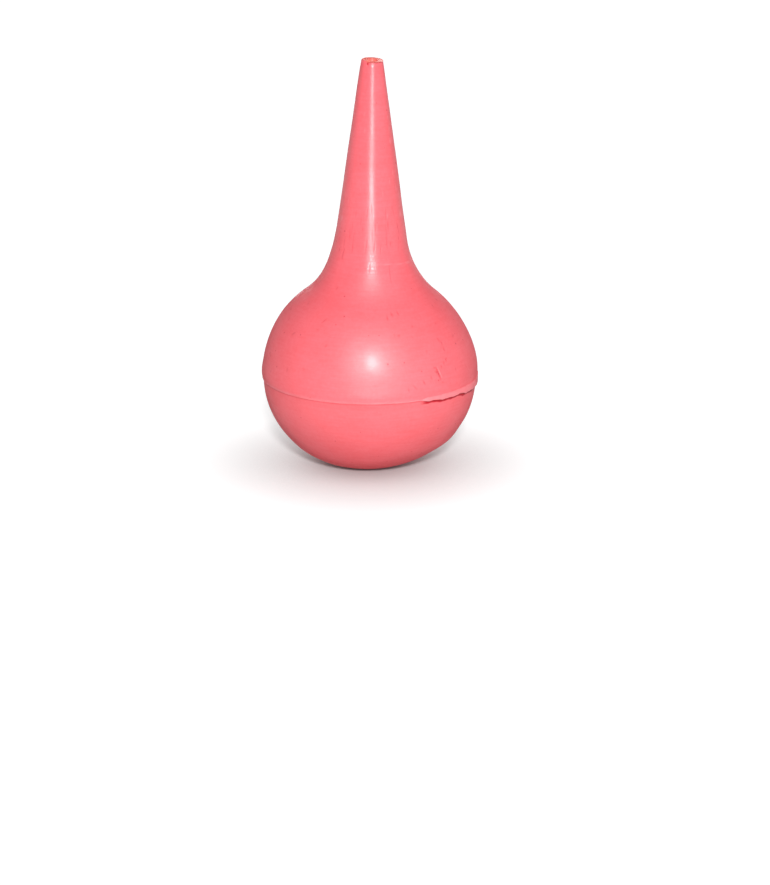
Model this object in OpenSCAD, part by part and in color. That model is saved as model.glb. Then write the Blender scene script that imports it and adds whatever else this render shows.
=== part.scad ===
// Rubber suction bulb for filling pipettes.
// Two moulded halves, a dome with its nozzle and a bowl, are bonded rim to rim.
// The bulb stands on the small flat foot of the bowl, nozzle up.
// Origin: centre of the foot. +Z runs up through the nozzle. Millimetres.

/* [Dome] */
// Outside diameter of the dome at the joint
dome_d = 62; // [50:0.5:78]
// Height of the whole bulb, foot to tip
overall_h = 117; // [95:0.5:145]
// Wall of both halves
wall = 2.6; // [2:0.1:3.4]

/* [Nozzle] */
// Outside diameter of the nozzle at its tip
tip_d = 6; // [4.6:0.1:8]
// Angle of the nozzle's side to its axis
taper = 8; // [6:0.1:10]
// Radius of the hollow curve that leads the nozzle into the dome
neck_r = 24.5; // [16:0.5:32]
// Diameter of the bore through the tip
bore_d = 3; // [2.2:0.1:3.8]

/* [Bowl] */
// Depth of the bowl from the joint, before its foot is flattened
bowl_depth = 27; // [22:0.5:33]
// How far the bowl's rim stands inside the dome's, all round
rim_step = 0.5; // [0.2:0.1:1]
// Radius of the bowl's rounded side
side_r = 25.5; // [16:0.5:30]
// Diameter of the flat foot
foot_d = 16; // [8:0.5:20]
// Thickness of the floor over the foot
floor_t = 2.6; // [2:0.1:4]

/* [Joint] */
// How far the squeezed-out bead stands proud of the dome
bead_proud = 0.3; // [0.1:0.1:1]
// Thickness of the bead along the axis
bead_t = 1.4; // [0.8:0.1:2.4]

/* [Hidden] */

// Enough sides for every curve to be read as a true one
$fn = 240;
// How far a cutting shape runs past the face that it cuts
over = 1;
// Least that the bowl's side arc leaves of its depth, and length of the bore
least = 1;

rubber = "#f4757c";
rubber_shade = "#e9696f";
rubber_edge = "#d75b60";

dome_r = dome_d / 2;
bore_r = bore_d / 2;
foot_r = foot_d / 2;
rim_r = dome_r - rim_step;

// The bowl: a side arc that is upright where it starts, and a flatter crown arc
// below it that touches it from outside, with its centre on the axis. A bowl that
// is deeper than its own radius starts with an upright stretch. Heights here are
// counted from the joint.
arc_depth = min(bowl_depth, rim_r);
upright = bowl_depth - arc_depth;
side_arc = min(side_r, arc_depth - least);
side_c = [rim_r - side_arc, -upright];
crown_r = (side_c.x ^ 2 + arc_depth ^ 2 - side_arc ^ 2) / (2 * (arc_depth - side_arc));
crown_c = [0, crown_r - bowl_depth];
foot_z = crown_c.y - sqrt(crown_r ^ 2 - foot_r ^ 2);
joint_h = -foot_z;
tip_z = overall_h - joint_h;

// The nozzle's side is a line at nozzle_off from the joint's centre. The neck's
// circle touches that line and the dome from outside.
nozzle_off = tip_d / 2 * cos(taper) + tip_z * sin(taper);
neck_along = sqrt((dome_r + neck_r) ^ 2 - (nozzle_off + neck_r) ^ 2);

// A point given by how far it lies from the joint's centre across the nozzle's
// side, and along it
function by_nozzle(off, along) =
    [off * cos(taper) - along * sin(taper), off * sin(taper) + along * cos(taper)];

neck_c = by_nozzle(nozzle_off + neck_r, neck_along);

// Height above the joint at which the tapering cavity is as wide as the bore
bore_end = min((nozzle_off - wall - bore_r * cos(taper)) / sin(taper), tip_z - least);

// Half outline of the dome, neck and nozzle, standing on the joint up to the
// height top. Every wall of it lies sink inside the outer skin.
module upper_half(sink, top) {
    side = nozzle_off - sink;
    neck_top = by_nozzle(side, neck_along);
    nozzle_top = by_nozzle(side, (top - side * sin(taper)) / cos(taper));
    intersection() {
        circle(dome_r - sink);
        square(dome_r);
    }
    difference() {
        polygon([[0, 0], neck_c, neck_top, [0, neck_top.y]]);
        translate(neck_c) circle(neck_r + sink);
    }
    polygon([[0, 0], [side / cos(taper), 0], nozzle_top, [0, nozzle_top.y]]);
}

// Half outline of the bowl, hanging from the joint, down to the height low.
// Every wall of it lies sink inside the outer skin.
module lower_half(sink, low) {
    past_turn = crown_c + 2 * crown_r * (side_c - crown_c) / norm(side_c - crown_c);
    intersection() {
        union() {
            translate([0, -upright]) square([rim_r - sink, upright + over]);
            translate(side_c) circle(side_arc - sink);
            intersection() {
                translate(crown_c) circle(crown_r - sink);
                polygon([crown_c, past_turn, [past_turn.x, -2 * crown_r], [0, -2 * crown_r]]);
            }
        }
        translate([0, low]) square([rim_r, -low]);
    }
}

// The dome and nozzle are one moulding: a hollow hemisphere that runs up through
// a hollow-curved neck into a tapered nozzle. The cavity follows the outside, and
// a straight bore takes over where the tapering cavity would be narrower.
module upper_shell() {
    color(rubber)
        translate([0, 0, joint_h])
            rotate_extrude()
                difference() {
                    upper_half(0, tip_z);
                    upper_half(wall, bore_end);
                    translate([0, bore_end]) square([bore_r, tip_z - bore_end + over]);
                }
}

// The bowl closes the dome from below. Its floor is level inside, over the foot.
module lower_shell() {
    color(rubber_shade)
        translate([0, 0, joint_h])
            rotate_extrude()
                difference() {
                    lower_half(0, foot_z);
                    lower_half(wall, foot_z + floor_t);
                }
}

// Rubber that squeezed out between the two rims in the mould and set there: a
// round-edged ring that fits the outside of both halves.
module seam_flash() {
    bead_r = dome_r + bead_proud - bead_t / 2;
    color(rubber_edge)
        translate([0, 0, joint_h])
            rotate_extrude()
                difference() {
                    union() {
                        translate([bead_r, 0]) circle(bead_t / 2);
                        translate([rim_r - over, -bead_t / 2]) square([bead_r - rim_r + over, bead_t]);
                    }
                    upper_half(0, tip_z);
                    lower_half(0, foot_z);
                }
}

upper_shell();
lower_shell();
seam_flash();
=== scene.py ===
import math

import bpy
import numpy as np
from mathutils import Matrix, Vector


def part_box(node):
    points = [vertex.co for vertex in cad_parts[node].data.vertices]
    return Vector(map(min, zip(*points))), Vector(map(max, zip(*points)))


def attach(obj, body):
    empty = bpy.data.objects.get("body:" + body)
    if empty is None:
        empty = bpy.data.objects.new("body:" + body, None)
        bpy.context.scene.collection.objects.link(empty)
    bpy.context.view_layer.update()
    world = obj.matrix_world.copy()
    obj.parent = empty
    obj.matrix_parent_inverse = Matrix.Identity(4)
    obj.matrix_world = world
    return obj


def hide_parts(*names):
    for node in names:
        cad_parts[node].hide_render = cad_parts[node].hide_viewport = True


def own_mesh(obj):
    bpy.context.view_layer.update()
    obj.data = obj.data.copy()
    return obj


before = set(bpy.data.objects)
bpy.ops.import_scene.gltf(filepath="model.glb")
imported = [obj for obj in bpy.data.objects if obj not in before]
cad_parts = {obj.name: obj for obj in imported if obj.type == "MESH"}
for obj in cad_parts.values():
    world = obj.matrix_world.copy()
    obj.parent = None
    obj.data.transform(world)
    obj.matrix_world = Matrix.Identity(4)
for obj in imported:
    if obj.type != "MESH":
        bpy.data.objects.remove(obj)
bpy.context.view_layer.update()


# ---------------------------------------------------------------- Dome and nozzle
# One moulding of soft natural rubber: a hollow hemisphere that runs up through a
# hollow-curved neck into a tapered nozzle. It is pressed in a turned steel mould,
# and its tip is then cut off by hand, which leaves the cut face a little torn.

MM = 0.001

# Sizes in millimetres. Heights are counted from the joint of the two halves, and
# angles round the axis from the front, towards the right.
dome_low, dome_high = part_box("upper_shell")
joint_z = dome_low.z / MM
dome_r = dome_high.x / MM
tip_z = dome_high.z / MM - joint_z
wall = 2.6
tip_r = 3
taper = math.radians(8)
neck_r = 24.5
bore_r = 1.5
mouth_depth = 3
nozzle_off = tip_r * math.cos(taper) + tip_z * math.sin(taper)
neck_along = math.sqrt((dome_r + neck_r) ** 2 - (nozzle_off + neck_r) ** 2)


def by_nozzle(off, along):
    """A point that lies off from the joint's centre across the nozzle's side, and along it."""
    return np.array([
        off * math.cos(taper) - along * math.sin(taper),
        off * math.sin(taper) + along * math.cos(taper),
    ])


neck_c = by_nozzle(nozzle_off + neck_r, neck_along)
dome_top = math.atan2(neck_c[1], neck_c[0])


def arc(centre, radius, start, end, step):
    """Points along an arc from the angle start to the angle end, without the last one."""
    count = max(2, round(abs(end - start) * radius / step))
    angles = np.linspace(start, end, count, endpoint=False)
    return centre + radius * np.column_stack([np.cos(angles), np.sin(angles)])


def line(start, end, step):
    """Points along a straight line, without the last one."""
    along = np.subtract(end, start)
    count = max(1, round(np.linalg.norm(along) / step))
    return start + np.arange(count)[:, None] / count * along


def spaced(stretches):
    """Angles once round, from stretches of (start, end, spacing) in degrees, without the last end."""
    return np.radians(np.concatenate([
        np.linspace(start, end, round((end - start) / step), endpoint=False)
        for start, end, step in stretches
    ]))


def smooth(value, low, high):
    """0 below low, 1 above high, and a smooth rise between them."""
    share = np.clip((value - low) / (high - low), 0, 1)
    return share * share * (3 - 2 * share)


def bump(value, middle, width):
    """1 at the middle, falling smoothly to 0 one width away on both sides."""
    return smooth(-np.abs(value - middle), -width, 0)


def waves(seed, count, shortest, longest):
    """Slow waves in all directions, which together make a moulded surface slightly uneven."""
    draw = np.random.default_rng(seed)
    ways = draw.normal(size=(count, 3))
    ways /= np.linalg.norm(ways, axis=1)[:, None]
    lengths = draw.uniform(shortest, longest, count)
    shifts = draw.uniform(0, 2 * math.pi, count)
    return ways * (2 * math.pi / lengths)[:, None], shifts


def unevenness(points, ways, shifts):
    """How far the slow waves lift each point, mostly between -1 and 1."""
    return np.sin(points @ ways.T + shifts).sum(axis=-1) / math.sqrt(len(shifts) / 2)


def outward(profile, closed):
    """The direction out of the rubber at each point of a profile with the rubber on its left."""
    if closed:
        along = np.roll(profile, -1, axis=0) - np.roll(profile, 1, axis=0)
    else:
        along = np.gradient(profile, axis=0)
    along /= np.linalg.norm(along, axis=1)[:, None]
    return np.column_stack([along[:, 1], -along[:, 0]])


# An edge that bends by more than this is shaded as an edge
sharp_from = math.radians(50)


def skin_mesh(name, grid, closed, mark):
    """A skin of quads over a grid of points, rows along the profile and columns once round. A profile
    that isn't closed starts and ends on the axis, where each row becomes one point. The number mark
    of each point goes to the material."""
    rows, columns = grid.shape[:2]
    points = grid.reshape(-1, 3)
    marks = mark.reshape(-1)
    number = np.arange(rows * columns).reshape(rows, columns)
    beside = np.roll(number, -1, axis=1)
    if closed:
        above, above_beside = np.roll(number, -1, axis=0), np.roll(beside, -1, axis=0)
        quads = np.stack([number, beside, above_beside, above], axis=-1).reshape(-1, 4)
        faces = quads.tolist()
    else:
        first_point, last_point = grid[0].mean(0)[None], grid[-1].mean(0)[None]
        points = np.concatenate([first_point, points[columns:-columns], last_point])
        marks = np.concatenate([marks[:1], marks[columns:-columns], marks[-1:]])
        number, beside = number - columns + 1, beside - columns + 1
        quads = np.stack([number[1:-2], beside[1:-2], beside[2:-1], number[2:-1]], axis=-1)
        quads = quads.reshape(-1, 4)
        last = len(points) - 1
        first_fan = [[0, b, a] for a, b in zip(number[1].tolist(), beside[1].tolist())]
        last_fan = [[a, b, last] for a, b in zip(number[-2].tolist(), beside[-2].tolist())]
        faces = quads.tolist() + first_fan + last_fan
    mesh = bpy.data.meshes.new(name)
    mesh.from_pydata((points * MM).tolist(), [], faces)
    mesh.shade_smooth()
    mesh.set_sharp_from_angle(angle=sharp_from)
    mesh.attributes.new("mark", "FLOAT", "POINT").data.foreach_set("value", marks.astype(np.float32))
    mesh.validate()
    piece = bpy.data.objects.new(name, mesh)
    bpy.context.scene.collection.objects.link(piece)
    return piece


def placed(radius, height, angle):
    """Points at a radius, height above the joint and angle round the axis, in the row frame."""
    return np.stack([radius * np.sin(angle), -radius * np.cos(angle), height + joint_z], axis=-1)


# The outline, once round the rubber: up the outside, over the cut tip, down the
# bore and the cavity, and out across the rim. Its points lie closest over the
# lower dome, which is nicked, up to an angle in radians, and by the tip.
side_in = nozzle_off - wall
bore_end = (side_in - bore_r * math.cos(taper)) / math.sin(taper)
mouth_z = tip_z - mouth_depth
below_mouth = (tip_r + mouth_depth * math.tan(taper), mouth_z)
nicked_up_to = 0.42
outside = np.concatenate([
    arc((0, 0), dome_r, 0, nicked_up_to, step=0.3),
    arc((0, 0), dome_r, nicked_up_to, dome_top, step=0.45),
    arc(neck_c, neck_r, dome_top + math.pi, taper + math.pi, step=0.35),
    line(by_nozzle(nozzle_off, neck_along), below_mouth, step=1.1),
    line(below_mouth, (tip_r, tip_z), step=0.15),
])
inside = np.concatenate([
    line((tip_r, tip_z), (bore_r, tip_z), step=0.12),
    line((bore_r, tip_z), (bore_r, mouth_z), step=0.2),
    line((bore_r, mouth_z), (bore_r, bore_end), step=1.5),
    line((bore_r, bore_end), by_nozzle(side_in, neck_along), step=3),
    arc(neck_c, neck_r + wall, taper + math.pi, dome_top + math.pi, step=2),
    arc((0, 0), dome_r - wall, dome_top, 0, step=2),
    line((dome_r - wall, 0), (dome_r, 0), step=0.9),
])
profile = np.concatenate([outside, inside])
is_skin = (np.arange(len(profile)) < len(outside)).astype(float)[:, None]
away = outward(profile, closed=True)

# The columns round the axis lie closest over the front right, where the nicks are
columns = spaced([(-180, -100, 3.5), (-100, 10, 1), (10, 62, 0.42), (62, 100, 1), (100, 180, 3.5)])
angle, height = np.broadcast_arrays(columns[None, :], profile[:, 1][:, None])
degrees = np.degrees(angle)

# Rubber pulled warm off its mould keeps no perfect round. The skin is a little
# uneven all over. The dome is fuller at the left and flatter at the right, the
# neck and nozzle are fuller at both sides, and the rim stands out at the left.
lump = 0.05
side_reach = 80
at_left = bump(degrees, -90, side_reach)
at_right = bump(degrees, 90, side_reach)
dome_waves = waves(seed=11, count=10, shortest=15, longest=42)
offset = lump * unevenness(placed(profile[:, 0][:, None], height, angle), *dome_waves)
offset = offset * smooth(height, -1, 6)

full_dome_left = 0.33
full_neck_left = 0.4
hollow_below_neck_left = 0.12
full_tip_left = 0.14
offset = offset + full_dome_left * at_left * smooth(height, -2, 4) * smooth(-height, -28, -17)
offset = offset + full_neck_left * at_left * bump(height, 36.5, 8)
offset = offset - hollow_below_neck_left * at_left * bump(height, 27, 5)
offset = offset + full_tip_left * at_left * smooth(height, 72, 88)

flat_upper_right = 0.42
flat_lower_right = 0.27
full_neck_right = 0.17
full_nozzle_right = 0.11
offset = offset - flat_upper_right * at_right * bump(height, 22, 13)
offset = offset - flat_lower_right * at_right * bump(height, 13, 10)
offset = offset + full_neck_right * at_right * bump(height, 42, 10)
offset = offset + full_nozzle_right * at_right * bump(height, 58, 16)

rim_proud = 0.05
rim_proud_front = 0.16
rim_proud_left = 0.13
rim_shy_right = 0.15
rim_out = smooth(-height, -5, -1) - 0.5 * at_left * smooth(-height, -1.2, 0)
rim_lift = rim_proud + rim_proud_front * bump(degrees, -10, 90)
rim_lift = rim_lift + rim_proud_left * at_left - rim_shy_right * at_right
offset = offset + rim_lift * rim_out

# Where the mould's nozzle part begins, a faint, broken, pale line runs part of the
# way round, on a slight slope
mould_line_z = 34.9
mould_line_slope = 0.9
mould_line_proud = 0.05
mould_line_paleness = 0.28
mould_line = bump(height, mould_line_z - mould_line_slope * np.sin(np.radians(degrees - 12)), 0.42)
mould_line = mould_line * smooth(degrees, 4, 14) * smooth(-degrees, -120, -95)
mould_line = mould_line * (0.65 + 0.35 * np.sin(np.radians(degrees) * 19))
offset = offset + mould_line_proud * mould_line

# Scratches and nicks from use: a curved row of short nicks and one longer cut on
# the lower right of the dome, fine lengthwise scratches on the neck, fine ones all
# over the dome, and pale ones across the nozzle
scratch_depth = 0.12
nick_count = 11
neck_scratch_count = 32
fine_scratch_count = 40
pale_scratch_count = 45
skin_r = profile[:, 0][:, None]
mark = np.zeros_like(height)
pale = mould_line_paleness * mould_line * is_skin


def scratch(drawn, start, end, width, strength):
    """Draws a scratch from one place to another, each an angle in degrees and a height in millimetres.
    It is as wide as width to either side, and fainter at its ends."""
    middle = math.radians(start[0] + end[0]) / 2
    middle_up = (start[1] + end[1]) / 2
    spare = 2
    rows = np.flatnonzero(np.abs(profile[:, 1] - middle_up) < abs(end[1] - start[1]) / 2 + spare)
    rows = rows[rows < len(outside)]
    across = (angle[rows] - middle) * skin_r[rows]
    up = height[rows]
    local_r = np.interp(middle_up, outside[:, 1], outside[:, 0])
    from_a = np.array([(math.radians(start[0]) - middle) * local_r, start[1]])
    along = np.array([(math.radians(end[0]) - middle) * local_r, end[1]]) - from_a
    share = ((across - from_a[0]) * along[0] + (up - from_a[1]) * along[1]) / (along @ along)
    share = np.clip(share, 0, 1)
    gap = np.hypot(across - from_a[0] - share * along[0], up - from_a[1] - share * along[1])
    fading = 1 - 0.6 * np.abs(2 * share - 1)
    drawn[rows] = np.maximum(drawn[rows], strength * fading * smooth(-gap, -width, -0.2 * width))


# The row of nicks follows part of an oval, in degrees across and millimetres up.
# The longer cut crosses it, with a short nick at its top and a pale lip beside it.
oval_middle = (17, 12.6)
oval_reach = (30, 9)
nick_width = 0.34
draw = np.random.default_rng(3)
for share in np.linspace(0, 1, nick_count):
    turned = math.radians(5 + 100 * share)
    place = np.array([
        oval_middle[0] + oval_reach[0] * math.sin(turned),
        oval_middle[1] - oval_reach[1] * math.cos(turned),
    ])
    place = place + draw.normal(0, 0.3, 2)
    slant = draw.uniform(-2.2, 0.2)
    length = draw.uniform(0.6, 1.3)
    scratch(mark, place, place + (slant, length), nick_width, draw.uniform(0.35, 0.6))
scratch(mark, (37.6, 8.4), (39.8, 5.0), width=0.38, strength=0.8)
scratch(mark, (36.0, 8.5), (37.8, 8.3), width=nick_width, strength=0.5)
scratch(pale, (38.6, 8.2), (40.6, 5.4), width=0.3, strength=0.45)
for _ in range(neck_scratch_count):
    place = np.array([draw.uniform(-62, 58), draw.uniform(30, 50)])
    length = draw.uniform(0.8, 5)
    slant = draw.normal(0, 1.5)
    width = draw.uniform(0.2, 0.3)
    scratch(mark, place, place + (slant, length), width, draw.uniform(0.15, 0.42))
for _ in range(fine_scratch_count):
    place = np.array([draw.uniform(-80, 80), draw.uniform(2, 30)])
    course = (draw.normal(0, 1.5), draw.normal(0, 0.4))
    width = draw.uniform(0.28, 0.45)
    scratch(mark, place, place + course, width, draw.uniform(0.15, 0.5))
for _ in range(pale_scratch_count):
    place = np.array([draw.choice([-1, 1]) * draw.uniform(18, 75), draw.uniform(44, 76)])
    course = (draw.normal(0, 4), draw.normal(0, 0.2))
    width = draw.uniform(0.25, 0.4)
    scratch(pale, place, place + course, width, draw.uniform(0.2, 0.5))
offset = offset - scratch_depth * mark

# The dome's rim, which stands a little proud of the bead, is painted pale at the front and
# the left: a painted highlight where it catches the lamp
rim_highlight_paleness = 0.22
painted_rim_highlight = smooth(-np.abs(height - 0.25), -0.42, -0.16)
painted_rim_highlight = painted_rim_highlight * smooth(degrees, -110, -85) * smooth(-degrees, -45, -15)
pale = np.maximum(pale, rim_highlight_paleness * painted_rim_highlight * is_skin)

# The nozzle leans a little to the right
tip_lean = 0.7
lean = tip_lean * (np.clip(height, 0, None) / tip_z) ** 2
radius = profile[:, 0][:, None] + away[:, 0][:, None] * offset * is_skin
raised = height + away[:, 1][:, None] * offset * is_skin

# The knife went through the tip on a slight slope, down to the front and the
# right. The front left was left standing, with a nick torn beside it.
slope_front = 0.34
slope_right = 0.17
left_standing = 0.26
torn_depth = 0.5
near_tip = smooth(height, tip_z - 2.6, tip_z)
share_out = profile[:, 0][:, None] / tip_r
cut = -slope_front * (1 + share_out * np.cos(angle)) - slope_right * (1 + share_out * np.sin(angle))
cut = cut + left_standing * smooth(-degrees, 32, 38) * smooth(degrees, -95, -70)
torn = bump(degrees, -26, 9) * smooth(share_out, 0.5, 0.9)
cut = cut - torn_depth * torn
raised = raised + near_tip * cut
# A dark line along the front of the cut's outer edge is painted shade, carried by the mark, and the torn
# nick is drawn darker
edge = smooth(share_out, 0.8, 0.95) * smooth(height, tip_z - 0.35, tip_z - 0.1)
edge = 0.5 * edge * smooth(degrees, -32, -22) * smooth(-degrees, -75, -50)
mark = np.maximum(mark, torn * smooth(height, tip_z - 0.8, tip_z - 0.3))
mark = np.maximum(mark, edge)

# One number for both: above 0 it darkens, for dirt and for painted shade; below 0 it makes the rubber
# paler, for pale marks and the painted rim highlight
least_dirt_and_shade = 0.02
mark = np.where(mark > least_dirt_and_shade, mark, -pale)

grid = placed(radius, raised, angle)
grid[..., 0] += lean
dome = skin_mesh("dome_and_nozzle", grid, True, mark)


def linear(code):
    """An sRGB hex colour as the linear one that Blender wants."""
    parts = [int(code[at:at + 2], 16) / 255 for at in (1, 3, 5)]
    return tuple(p / 12.92 if p <= 0.04045 else ((p + 0.055) / 1.055) ** 2.4 for p in parts) + (1,)


def add_node(tree, kind, inputs=None, **settings):
    """Adds a node, with its settings, and with a value or another node's output at each named input."""
    node = tree.nodes.new(kind)
    for name, value in settings.items():
        setattr(node, name, value)
    for socket, value in (inputs or {}).items():
        if isinstance(value, bpy.types.NodeSocket):
            tree.links.new(value, node.inputs[socket])
        else:
            node.inputs[socket].default_value = value
    return node


# The mix node has an input of each name for numbers, vectors and colours; these are its colours
MIX_A, MIX_B, MIXED = 6, 7, 2


cloud = 12 * MM
streak = 0.6 * MM
mottle_size = 0.9 * MM
speck_gap = 2.4 * MM
grain_size = 0.35 * MM
grain_depth = 0.032 * MM
ring_gap = 0.6 * MM
ring_depth = 0.06 * MM
worn_patch = 5 * MM


def moulded_rubber(name, colour, deep, dirt_and_shade_colour, pale_and_highlight_colour):
    """Natural rubber, coloured right through, as it comes from a turned mould: a satin skin with a fine
    grain, slightly cloudy pigment and a few dark specks of dirt. The fine turning of the mould's nozzle
    draws the gloss out crosswise there."""
    material = bpy.data.materials.new(name)
    material.use_nodes = True
    tree = material.node_tree
    tree.nodes.clear()
    place = add_node(tree, "ShaderNodeTexCoord").outputs["Object"]
    height = add_node(tree, "ShaderNodeSeparateXYZ", {"Vector": place}).outputs["Z"]

    # Pigment that didn't mix evenly: clouds about 12 mm across, short level streaks
    # 0.6 mm high, drawn out as the mould was filled, and a fine mottle
    clouds = add_node(tree, "ShaderNodeTexNoise", {"Vector": place, "Scale": 1 / cloud, "Detail": 3.0})
    drawn_out = add_node(tree, "ShaderNodeMapping", {"Vector": place, "Scale": (0.12, 0.12, 1.0)})
    streaks = add_node(tree, "ShaderNodeTexNoise", {
        "Vector": drawn_out.outputs["Vector"], "Scale": 1 / streak, "Detail": 2.0})
    mottle = add_node(tree, "ShaderNodeTexNoise", {
        "Vector": place, "Scale": 1 / mottle_size, "Detail": 3.0})
    shade = add_node(tree, "ShaderNodeMath", {
        0: clouds.outputs[0], 1: streaks.outputs[0]}, operation="ADD")
    shade = add_node(tree, "ShaderNodeMath", {
        0: shade.outputs[0], 1: mottle.outputs[0]}, operation="ADD")
    shade = add_node(tree, "ShaderNodeMapRange", {
        "Value": shade.outputs[0], "From Min": 1.15, "From Max": 1.85})
    tone = add_node(tree, "ShaderNodeMix", {
        "Factor": shade.outputs["Result"], MIX_A: linear(deep), MIX_B: linear(colour)}, data_type="RGBA")

    # Dirt pressed into the skin, in specks up to 0.5 mm across, some 2.4 mm apart, and in
    # every scratch. The same dark red, where the mark is above 0, also paints shade under the
    # bead and its lip and along the tip's cut edge, and darkens the torn nick at the tip.
    # Where the mark is below 0 the skin is paler instead: rubbed pale, and a painted
    # highlight along the dome's rim.
    cells = add_node(tree, "ShaderNodeTexVoronoi", {"Vector": place, "Scale": 1 / speck_gap})
    lot = add_node(tree, "ShaderNodeSeparateColor", {"Color": cells.outputs["Color"]})
    size = add_node(tree, "ShaderNodeMapRange", {
        "Value": lot.outputs["Red"], "From Min": 0.4, "From Max": 1.0, "To Min": 0.0, "To Max": 0.14})
    in_speck = add_node(tree, "ShaderNodeMath", {
        0: size.outputs["Result"], 1: cells.outputs["Distance"]}, operation="SUBTRACT")
    specks = add_node(tree, "ShaderNodeMapRange", {
        "Value": in_speck.outputs[0], "From Min": 0.0, "From Max": 0.06, "To Min": 0.0, "To Max": 0.55})
    marks = add_node(tree, "ShaderNodeAttribute", attribute_name="mark")
    dirt_and_shade = add_node(tree, "ShaderNodeMath", {
        0: specks.outputs["Result"], 1: marks.outputs["Fac"]}, operation="MAXIMUM")
    stained_and_shaded = add_node(tree, "ShaderNodeMix", {
        "Factor": dirt_and_shade.outputs[0], MIX_A: tone.outputs[MIXED], MIX_B: linear(dirt_and_shade_colour)},
        data_type="RGBA")
    # Below 0 the mark makes the skin paler, for pale wear and for the painted rim highlight
    pale_and_highlit = add_node(tree, "ShaderNodeMapRange", {
        "Value": marks.outputs["Fac"], "From Min": 0.0, "From Max": -1.0, "To Min": 0.0, "To Max": 1.0})
    skin = add_node(tree, "ShaderNodeMix", {
        "Factor": pale_and_highlit.outputs["Result"], MIX_A: stained_and_shaded.outputs[MIXED], MIX_B: linear(pale_and_highlight_colour)},
        data_type="RGBA")

    # The grain, drawn 0.35 mm across, which is about the finest that shows, and, on the
    # neck and nozzle only, the rings that the turning tool left in the mould, 0.6 mm
    # apart, which are faintest on the nozzle
    grain = add_node(tree, "ShaderNodeTexNoise", {
        "Vector": place, "Scale": 1 / grain_size, "Detail": 2.0})
    rings = add_node(tree, "ShaderNodeTexNoise", {
        "W": height, "Scale": 1 / ring_gap, "Detail": 2.0}, noise_dimensions="1D")
    turned = add_node(tree, "ShaderNodeMapRange", {
        "Value": height, "From Min": 48 * MM, "From Max": 60 * MM, "To Min": 0.0, "To Max": 1.0})
    smoother = add_node(tree, "ShaderNodeMapRange", {
        "Value": height, "From Min": 64 * MM, "From Max": 76 * MM, "To Min": 1.0, "To Max": 0.2})
    ripple = add_node(tree, "ShaderNodeMath", {
        0: turned.outputs["Result"], 1: smoother.outputs["Result"]}, operation="MULTIPLY")
    grained = add_node(tree, "ShaderNodeBump", {"Height": grain.outputs[0], "Distance": grain_depth})
    ringed = add_node(tree, "ShaderNodeBump", {
        "Strength": ripple.outputs[0], "Height": rings.outputs[0], "Distance": ring_depth,
        "Normal": grained.outputs["Normal"]})
    crosswise = add_node(tree, "ShaderNodeMapRange", {
        "Value": turned.outputs["Result"], "To Min": 0.0, "To Max": 0.9})
    round_axis = add_node(tree, "ShaderNodeTangent", direction_type="RADIAL", axis="Z")

    # Handling has left the skin a little uneven in its gloss. The nozzle is smoother
    # than the dome, and gets duller again towards its tip.
    worn = add_node(tree, "ShaderNodeTexNoise", {"Vector": place, "Scale": 1 / worn_patch, "Detail": 4.0})
    gloss = add_node(tree, "ShaderNodeMapRange", {
        "Value": worn.outputs[0], "From Min": 0.3, "From Max": 0.7, "To Min": 0.48, "To Max": 0.58})
    polished = add_node(tree, "ShaderNodeMapRange", {
        "Value": height, "From Min": 62 * MM, "From Max": 74 * MM, "To Min": 0.0, "To Max": 0.12})
    frayed = add_node(tree, "ShaderNodeMapRange", {
        "Value": height, "From Min": 60 * MM, "From Max": 116 * MM, "To Min": 0.0, "To Max": 0.1})
    rough = add_node(tree, "ShaderNodeMath", {
        0: gloss.outputs["Result"], 1: polished.outputs["Result"]}, operation="SUBTRACT")
    rough = add_node(tree, "ShaderNodeMath", {
        0: rough.outputs[0], 1: frayed.outputs["Result"]}, operation="ADD")

    # The skin has a soft gloss of its own, and a tighter one from a trace of wax that
    # has come out on it. Edge on, both would mirror the white walls and floor, but the
    # real rubber is at its deepest red there, so both fade towards the outline. Dirt
    # and the painted shade have next to none.
    edge_on = add_node(tree, "ShaderNodeLayerWeight", {"Blend": 0.5}).outputs["Facing"]
    gleam = add_node(tree, "ShaderNodeMapRange", {
        "Value": edge_on, "From Min": 0.2, "From Max": 0.8, "To Min": 0.9, "To Max": 0.05})
    wax = add_node(tree, "ShaderNodeMapRange", {
        "Value": edge_on, "From Min": 0.2, "From Max": 0.8, "To Min": 0.15, "To Max": 0.02})
    clean = add_node(tree, "ShaderNodeMapRange", {
        "Value": dirt_and_shade.outputs[0], "To Min": gleam.outputs["Result"], "To Max": 0.1})
    waxy = add_node(tree, "ShaderNodeMapRange", {
        "Value": dirt_and_shade.outputs[0], "To Min": wax.outputs["Result"], "To Max": 0.0})
    shader = add_node(tree, "ShaderNodeBsdfPrincipled", {
        "Base Color": skin.outputs[MIXED],
        "Roughness": rough.outputs[0],
        "IOR": 1.52,
        "Specular IOR Level": clean.outputs["Result"],
        "Anisotropic": crosswise.outputs["Result"],
        "Anisotropic Rotation": 0.25,
        "Tangent": round_axis.outputs["Tangent"],
        "Coat Weight": waxy.outputs["Result"],
        "Coat Roughness": 0.2,
        "Normal": ringed.outputs["Normal"],
        "Coat Normal": ringed.outputs["Normal"],
    })
    add_node(tree, "ShaderNodeOutputMaterial", {"Surface": shader.outputs["BSDF"]})
    return material


# Dirt and painted shade share this dark red; pale wear and painted highlight share this pink
dirt_and_shade_red = "#CC303C"
pale_and_highlight_pink = "#FFA6AC"
dome_rubber = moulded_rubber("moulded_natural_rubber_dome", "#FF707A", "#FC656E", dirt_and_shade_red, pale_and_highlight_pink)
dome.data.materials.append(dome_rubber)

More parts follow.
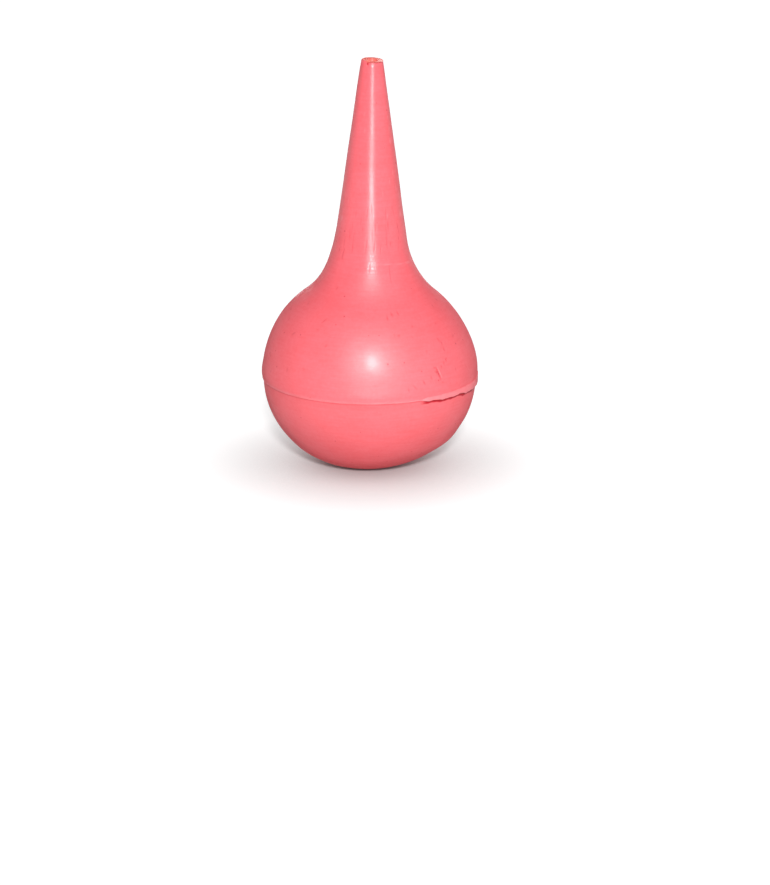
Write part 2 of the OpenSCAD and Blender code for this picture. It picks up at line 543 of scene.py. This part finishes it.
# Where the knife cut it, and in the mouth of the bore, the rubber is painted more orange: a painted glow
# of light bounced about in the bore
cut_rubber_with_painted_glow = moulded_rubber("cut_rubber_painted_glow", "#FF857A", "#FC7468", "#B8242C", pale_and_highlight_pink)
dome.data.materials.append(cut_rubber_with_painted_glow)
cut_rows = np.flatnonzero(profile[:, 1] > mouth_z)
cut_rows = cut_rows[cut_rows >= len(outside)]
first_face, last_face = int(cut_rows[0]) * len(columns), int(cut_rows[-1]) * len(columns)
for face in dome.data.polygons[first_face:last_face]:
    face.material_index = 1
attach(dome, "dome")
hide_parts("upper_shell")


# ---------------------------------------------------------------- Bowl
# The second moulding of the same rubber, which closes the dome from below. Its
# side turns into a flatter crown, which ends in a small flat foot.

side_r = 25.5
bowl_depth = 27
foot_r = 8
floor_t = 2.6
rim_step = 0.5
rim_r = dome_r - rim_step
side_c = np.array([rim_r - side_r, 0])
crown_r = (side_c[0] ** 2 + bowl_depth ** 2 - side_r ** 2) / (2 * (bowl_depth - side_r))
crown_c = np.array([0, crown_r - bowl_depth])
turn = math.atan2(*(side_c - crown_c)[::-1])

# The angle in radians from which the bowl's outline is drawn finer, up to the rim
near_rim = -0.1


def bowl_line(sink, low, step):
    """The bowl's outline, sink inside its skin, from the height low near the axis up to the rim."""
    radius = crown_r - sink
    start = -math.acos(math.sqrt(radius ** 2 - (low - crown_c[1]) ** 2) / radius)
    return np.concatenate([
        arc(crown_c, radius, start, turn, step),
        arc(side_c, side_r - sink, turn, near_rim, step),
        arc(side_c, side_r - sink, near_rim, 0, min(step, 0.15)),
    ])


def lip_at(degrees):
    """1 where, round the axis, the bead at the joint hangs over the bowl in a torn lip, 0 elsewhere."""
    return smooth(degrees, 26, 31) * smooth(-degrees, -118, -100)


def lip_hang(degrees):
    """How far the lip hangs below the joint: further in two steps towards the right, with a notch
    between them, and finely ragged all along."""
    torn = 0.3 * smooth(degrees, 34, 41) - 0.14 * bump(degrees, 52, 5) + 0.36 * smooth(degrees, 55, 59)
    fine = 0.06 * np.sin(np.radians(degrees) * 37 + 1) + 0.04 * np.sin(np.radians(degrees) * 91 + 2)
    return 0.36 + torn + 0.2 * smooth(degrees, 61, 80) + fine


foot_z = -joint_z
outside = np.concatenate([
    line((0, foot_z), (foot_r, foot_z), step=1),
    bowl_line(0, foot_z, step=0.35),
])
in_low = foot_z + floor_t
in_line = bowl_line(wall, in_low, step=2)[::-1]
inside = np.concatenate([
    line((rim_r, 0), (rim_r - wall, 0), step=0.9),
    in_line,
    line((in_line[-1][0], in_low), (0, in_low), step=2)[1:],
    [(0, in_low)],
])
profile = np.concatenate([outside, inside])
is_skin = (np.arange(len(profile)) < len(outside)).astype(float)[:, None]
away = outward(profile, closed=False)
columns = spaced([(-180, -100, 2), (-100, 20, 0.8), (20, 100, 0.5), (100, 180, 2)])
angle, height = np.broadcast_arrays(columns[None, :], profile[:, 1][:, None])
degrees = np.degrees(angle)

# The bowl is uneven as the dome is: fuller at the left, over the foot and near the
# rim at the front and the right, and its foot stands a little to the left
full_bowl_left = 0.32
full_bowl_right = 0.3
flat_bowl_right = 0.1
full_low_right = 0.13
full_by_foot_left = 0.13
full_by_foot_right = 0.04
full_rim_front = 0.3
full_rim_right = 0.3
at_left = bump(degrees, -90, side_reach)
at_right = bump(degrees, 90, 70)
bowl_waves = waves(seed=23, count=10, shortest=15, longest=42)
off_foot = smooth(height, foot_z + 0.2, foot_z + 5)
offset = lump * unevenness(placed(profile[:, 0][:, None], height, angle), *bowl_waves) * off_foot
offset = offset + full_bowl_left * at_left * off_foot
offset = offset + full_bowl_right * at_right * bump(height, -17.5, 4)
offset = offset - flat_bowl_right * at_right * bump(height, -22.5, 4.5)
offset = offset + full_low_right * bump(degrees, 62, 60) * bump(height, -22.3, 2.6)
offset = offset + full_by_foot_left * bump(degrees, -48, 40) * bump(height, -24.2, 1.8)
offset = offset + full_by_foot_right * bump(degrees, 48, 40) * bump(height, -24.2, 1.8)
offset = offset + full_rim_front * bump(degrees, -15, 75) * smooth(height, -2.5, 0)
offset = offset + full_rim_right * bump(degrees, 95, 30) * smooth(height, -4, 0)
radius = profile[:, 0][:, None] + away[:, 0][:, None] * offset * is_skin
raised = height + away[:, 1][:, None] * offset * is_skin
grid = placed(radius, raised, angle)
foot_to_left = 0.85
grid[..., 0] -= foot_to_left * smooth(-height, 16, 26)

# Shade is painted dark red on the bowl just below the lip that hangs over its rim at the
# right, thicker further right, and a fainter painted shade just below the bead at the left and the front
# left
below_lip = np.abs(height + lip_hang(degrees) + 0.5)
thicker = smooth(degrees, 60, 75)
mark = lip_at(degrees) * smooth(-below_lip, -0.6 - 0.3 * thicker, -0.3 - 0.2 * thicker)
shade_below_bead = smooth(-np.abs(height + 0.3), -0.35, -0.15)
shade_below_bead = shade_below_bead * smooth(degrees, -110, -85) * smooth(-degrees, -34, -26)
# How dark the painted shade under the bead is
faint = 0.25
mark = np.maximum(mark, faint * shade_below_bead) * is_skin
bowl = skin_mesh("bowl", grid, False, mark)
bowl_rubber = moulded_rubber("moulded_natural_rubber_bowl", "#FF6F78", "#FC646C", dirt_and_shade_red, pale_and_highlight_pink)
bowl.data.materials.append(bowl_rubber)
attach(bowl, "bowl")
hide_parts("lower_shell")
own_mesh(bowl)


# ---------------------------------------------------------------- Bead at the joint
# Rubber that was pressed out between the two rims in the mould, and trimmed by
# hand: a low ring round the joint, which hangs in a ragged lip at the right.

columns = spaced([(-180, -100, 1), (-100, 100, 0.4), (100, 180, 1)])
degrees = np.degrees(columns)
draw = np.random.default_rng(5)


def ragged(shortest, longest, count):
    """Uneven all round, as a torn edge is, in waves between two lengths in degrees."""
    times = np.round(360 / draw.uniform(shortest, longest, count))
    shifts = draw.uniform(0, 2 * math.pi, count)
    return np.sin(columns[:, None] * times + shifts).sum(axis=1) / math.sqrt(count / 2)


lip = lip_at(degrees)
at_left = bump(degrees, -90, side_reach)

# How far the bead's lower edge hangs below the joint
least_drop = 0.02
hang = lip_hang(degrees) + 0.02 * ragged(2, 5, 8)

# How far it stands out from the dome's radius
bead_proud = 0.05
bead_proud_front = 0.14
bead_proud_left = 0.12
bead_shy_right = 0.12
lip_proud = 0.42
proud = bead_proud + bead_proud_front * bump(degrees, -10, 90) + bead_proud_left * at_left
proud = proud + 0.02 * ragged(4, 16, 8) - bead_shy_right * bump(degrees, 92, 25)
proud = proud + lip_proud * lip * (1 - smooth(degrees, 62, 90))
drop = 0.04 + 0.03 * ragged(4, 20, 6)
drop = np.clip(drop + (hang - drop) * lip, least_drop, None)

# How far its upper edge lies above the joint
bead_top = 0.4
lip_top = 0.35
top = bead_top + lip_top * lip + 0.06 * ragged(5, 25, 6)

# Round the bead's section, each place as how far it stands out from the dome's
# radius and how far it lies above the joint
root = -1.0
section = [
    (root, top - 0.1),
    (0.0, top),
    (proud * 0.5, top * 0.5),
    (proud * 0.8, np.zeros_like(top)),
    (proud, -drop * 0.8),
    (proud - 0.03, -drop),
    (proud - 0.12, -drop * 0.97),
    (proud * 0.5 - 0.25, -drop * 0.5),
    (np.full_like(top, -0.42), -0.12 * lip - 0.02),
    (root, -0.1 * lip - 0.02),
]
grid = np.stack([placed(dome_r + out, up, columns) for out, up in section])
bead = skin_mesh("bead_at_the_joint", grid[::-1], True, np.zeros(grid.shape[:2]))
# The bead is coloured paler than the dome: a painted highlight for the light that its face, turned up and
# out, catches
bead_rubber = moulded_rubber("torn_rubber_painted_highlight", "#FF888F", "#FC7C84", dirt_and_shade_red, pale_and_highlight_pink)
bead.data.materials.append(bead_rubber)
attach(bead, "dome")
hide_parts("seam_flash")


# ---------------------------------------------------------------- Floor and light
# A plain white table, seen white where nothing shades it. One soft lamp stands in
# front, above the camera, and weaker, softer ones at the right and behind.

half = 6
corners = [(-half, -half, 0), (half, -half, 0), (half, half, 0), (-half, half, 0)]
floor_mesh = bpy.data.meshes.new("floor")
floor_mesh.from_pydata(corners, [], [(0, 1, 2, 3)])
floor = bpy.data.objects.new("floor", floor_mesh)
bpy.context.scene.collection.objects.link(floor)


def seen_directly(tree):
    """1 for what the camera sees, straight, mirrored or through glass, and 0 for light on its way."""
    path = add_node(tree, "ShaderNodeLightPath")
    either = add_node(tree, "ShaderNodeMath", {
        0: path.outputs["Is Camera Ray"], 1: path.outputs["Is Glossy Ray"]}, operation="MAXIMUM")
    return add_node(tree, "ShaderNodeMath", {
        0: either.outputs[0], 1: path.outputs["Is Transmission Ray"]}, operation="MAXIMUM").outputs[0]


# The glow that makes the table white fades out within 28 mm of the bulb, where the
# bulb takes its light
floor_glow = 0.74
shaded_within = 28 * MM
floor_paint = bpy.data.materials.new("white_table")
floor_paint.use_nodes = True
tree = floor_paint.node_tree
tree.nodes.clear()
paint = add_node(tree, "ShaderNodeBsdfDiffuse", {"Color": linear("#B8B8B8")})
open_above = add_node(tree, "ShaderNodeAmbientOcclusion", {"Distance": shaded_within}, samples=8)
seen = add_node(tree, "ShaderNodeMath", {
    0: seen_directly(tree), 1: open_above.outputs["AO"]}, operation="MULTIPLY")
level = add_node(tree, "ShaderNodeMapRange", {
    "Value": seen.outputs[0], "To Min": 0.0, "To Max": floor_glow})
glow = add_node(tree, "ShaderNodeEmission", {"Strength": level.outputs["Result"]})
both = add_node(tree, "ShaderNodeAddShader", {0: paint.outputs[0], 1: glow.outputs[0]})
add_node(tree, "ShaderNodeOutputMaterial", {"Surface": both.outputs[0]})
floor_mesh.materials.append(floor_paint)

# White walls that darken towards the ceiling, but only for what is seen, straight
# or in a reflection. The light that they give is weak and even.
ambient = 0.12
ceiling = 0.25
world = bpy.data.worlds.new("studio")
world.use_nodes = True
bpy.context.scene.world = world
tree = world.node_tree
tree.nodes.clear()
way = add_node(tree, "ShaderNodeTexCoord").outputs["Generated"]
upward = add_node(tree, "ShaderNodeSeparateXYZ", {"Vector": way}).outputs["Z"]
walls = add_node(tree, "ShaderNodeMapRange", {
    "Value": upward, "From Min": 0.0, "From Max": 0.4, "To Min": 1.0, "To Max": ceiling})
level = add_node(tree, "ShaderNodeMapRange", {
    "Value": seen_directly(tree), "To Min": ambient, "To Max": walls.outputs["Result"]})
sky = add_node(tree, "ShaderNodeBackground", {"Color": (1, 1, 1, 1), "Strength": level.outputs["Result"]})
add_node(tree, "ShaderNodeOutputWorld", {"Surface": sky.outputs[0]})

joint = Vector((0, 0, joint_z * MM))


def far_lamp(name, azimuth, elevation, width, strength):
    """A far, soft lamp, that gives a white surface that faces it the brightness strength. Its azimuth
    is counted from the front towards the right, and its width is an angle too, all in degrees."""
    up = math.radians(elevation)
    turned = math.radians(azimuth)
    way = Vector((math.sin(turned) * math.cos(up), -math.cos(turned) * math.cos(up), math.sin(up)))
    light = bpy.data.lights.new(name, "SUN")
    light.angle = math.radians(width)
    light.energy = strength * math.pi
    lamp = bpy.data.objects.new(name, light)
    bpy.context.scene.collection.objects.link(lamp)
    lamp.location = joint + way
    lamp.rotation_euler = (-way).to_track_quat("-Z", "Y").to_euler()


far_lamp("key", azimuth=2, elevation=26, width=6, strength=1.13)
far_lamp("fill_right", azimuth=60, elevation=15, width=80, strength=0.12)
far_lamp("fill_behind", azimuth=180, elevation=8, width=30, strength=0.3)


# ---------------------------------------------------------------- Camera
# Looks slightly down on the joint from straight in front, with a portrait lens.
# The aim lies below the joint and a little to its right.

camera_away = 0.69285
camera_up = math.radians(15.35)
aim_down = math.radians(1.63)
aim_right = math.radians(0.358)
view = bpy.data.cameras.new("camera")
view.sensor_width = 36
view.lens = 97.63
camera = bpy.data.objects.new("camera", view)
bpy.context.scene.collection.objects.link(camera)
camera.location = joint + camera_away * Vector((0, -math.cos(camera_up), math.sin(camera_up)))
camera.rotation_euler = (math.pi / 2 - camera_up - aim_down, 0, -aim_right)
bpy.context.scene.camera = camera
bpy.context.scene.view_settings.view_transform = "Standard"

bpy.context.view_layer.update()
